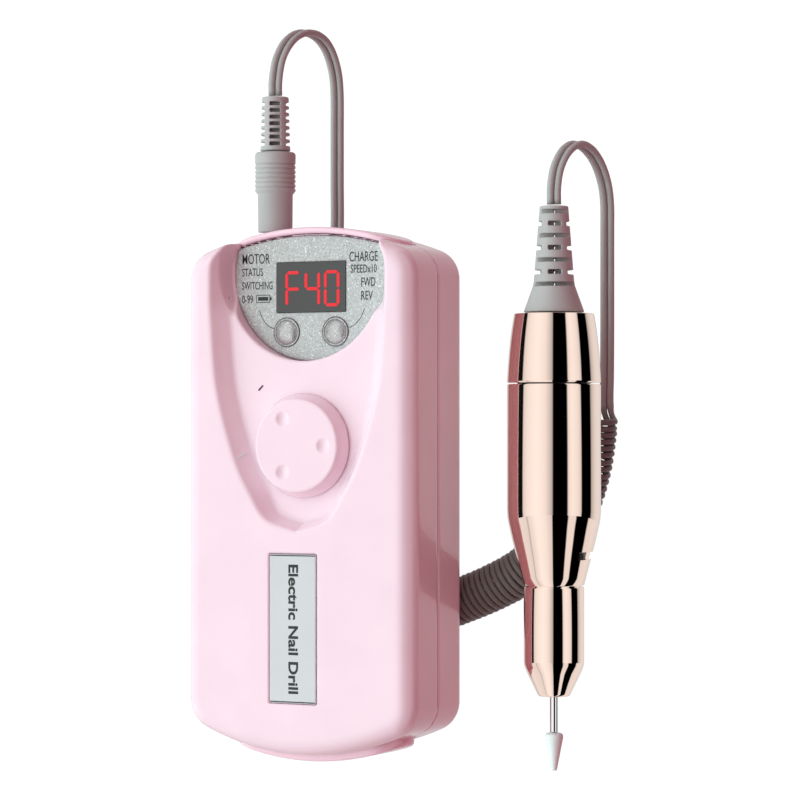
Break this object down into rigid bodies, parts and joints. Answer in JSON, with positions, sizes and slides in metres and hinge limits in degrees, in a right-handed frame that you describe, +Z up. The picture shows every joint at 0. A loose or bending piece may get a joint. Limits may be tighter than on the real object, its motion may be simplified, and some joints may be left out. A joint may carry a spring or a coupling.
{
  "type": "electric nail drill",
  "caption": "Portable battery nail drill: a slim control box with display, keys and speed knob, and a motor handpiece on a curly cord.",
  "frame": {"origin": "centre of the box around control box and handpiece, at the height of the table they lie on", "axes": "+X from the control box to the handpiece, +Y along both towards the plug and cord ends, +Z up out of the control panel"},
  "size_m": [0.1214, 0.2153, 0.049],
  "materials": {
    "case_pink": "glossy moulded pale pink plastic",
    "panel_silver": "silver with fine glitter",
    "display_black": "smoked glossy window",
    "display_red": "red seven-segment module",
    "key_silver": "silver glitter domed keys",
    "label_silver": "satin silver label",
    "board_green": "circuit board",
    "part_black": "moulded black plastic",
    "steel": "turned steel",
    "brass": "turned brass",
    "copper": "copper windings on a steel core",
    "rose_gold": "mirror-polished rose gold plating",
    "cord_rubber": "grey flexible cord sleeve",
    "plug_grey": "grey moulded strain reliefs and plug",
    "ceramic": "white ceramic grinding cone",
    "cell_wrap": "shrink-wrapped battery cell"
  },
  "bodies": {
    "root": {"front_shell": "case_pink", "back_shell": "case_pink", "top_end_cap": "case_pink", "bottom_end_cap": "case_pink", "face_plate": "panel_silver", "display_window": "display_black", "display_module": "display_red", "left_switch": "part_black", "right_switch": "part_black", "speed_potentiometer": "steel", "label_plate": "label_silver", "main_board": "board_green", "battery_cell_left": "cell_wrap", "battery_cell_right": "cell_wrap", "handpiece_socket": "part_black", "charging_socket": "steel", "belt_clip": "case_pink", "clip_screw_1": "steel", "clip_screw_2": "steel", "case_screw_1": "steel", "case_screw_2": "steel", "case_screw_3": "steel", "case_screw_4": "steel", "cord_coil": "cord_rubber"},
    "knob": {"speed_knob": "case_pink", "potentiometer_shaft": "steel"},
    "left_key": {"left_button": "key_silver"},
    "right_key": {"right_button": "key_silver"},
    "plug": {"plug_contact": "steel", "plug_body": "plug_grey", "plug_strain_relief": "plug_grey", "cord_lead_plug": "cord_rubber"},
    "handpiece": {"cord_boot": "plug_grey", "rear_cap": "rose_gold", "main_housing": "rose_gold", "motor_can": "steel", "motor_end_bell": "part_black", "spindle_housing": "steel", "bearing_rear": "steel", "bearing_front": "steel", "cord_lead_handpiece": "cord_rubber"},
    "twist": {"twist_sleeve": "rose_gold", "lock_pin": "part_black"},
    "rotating": {"motor_rotor": "copper", "shaft_coupling": "brass", "spindle": "steel", "collet": "steel"},
    "bit": {"bit_shank": "steel", "bit_head": "ceramic"}
  },
  "joints": [
    {"name": "speed_knob_turn", "type": "hinge", "parent": "root", "child": "knob", "pos_m": [-0.0237, 0.01185, 0.0465], "axis": [0, 0, 1], "range_deg": [-180, 120]},
    {"name": "left_button_press", "type": "slide", "parent": "root", "child": "left_key", "axis": [0, 0, -1], "range_m": [0, 0.0005], "stiffness_N_per_m": 400, "springref_m": -0.001},
    {"name": "right_button_press", "type": "slide", "parent": "root", "child": "right_key", "axis": [0, 0, -1], "range_m": [0, 0.0005], "stiffness_N_per_m": 400, "springref_m": -0.001},
    {"name": "plug_pull", "type": "slide", "parent": "root", "child": "plug", "axis": [0, 1, 0], "range_m": [0, 0.014]},
    {"name": "handpiece_lift", "type": "slide", "parent": "root", "child": "handpiece", "axis": [0, 0, 1], "range_m": [0, 0.12]},
    {"name": "twist_lock_turn", "type": "hinge", "parent": "handpiece", "child": "twist", "pos_m": [0.0475, -0.038, 0.0276], "axis": [0, 1, 0], "range_deg": [0, 52]},
    {"name": "spindle_spin", "type": "hinge", "parent": "handpiece", "child": "rotating", "pos_m": [0.0475, -0.03, 0.0276], "axis": [0, 1, 0], "continuous": true},
    {"name": "bit_pull", "type": "slide", "parent": "rotating", "child": "bit", "axis": [0, -1, 0], "range_m": [0, 0.035]}
  ]
}
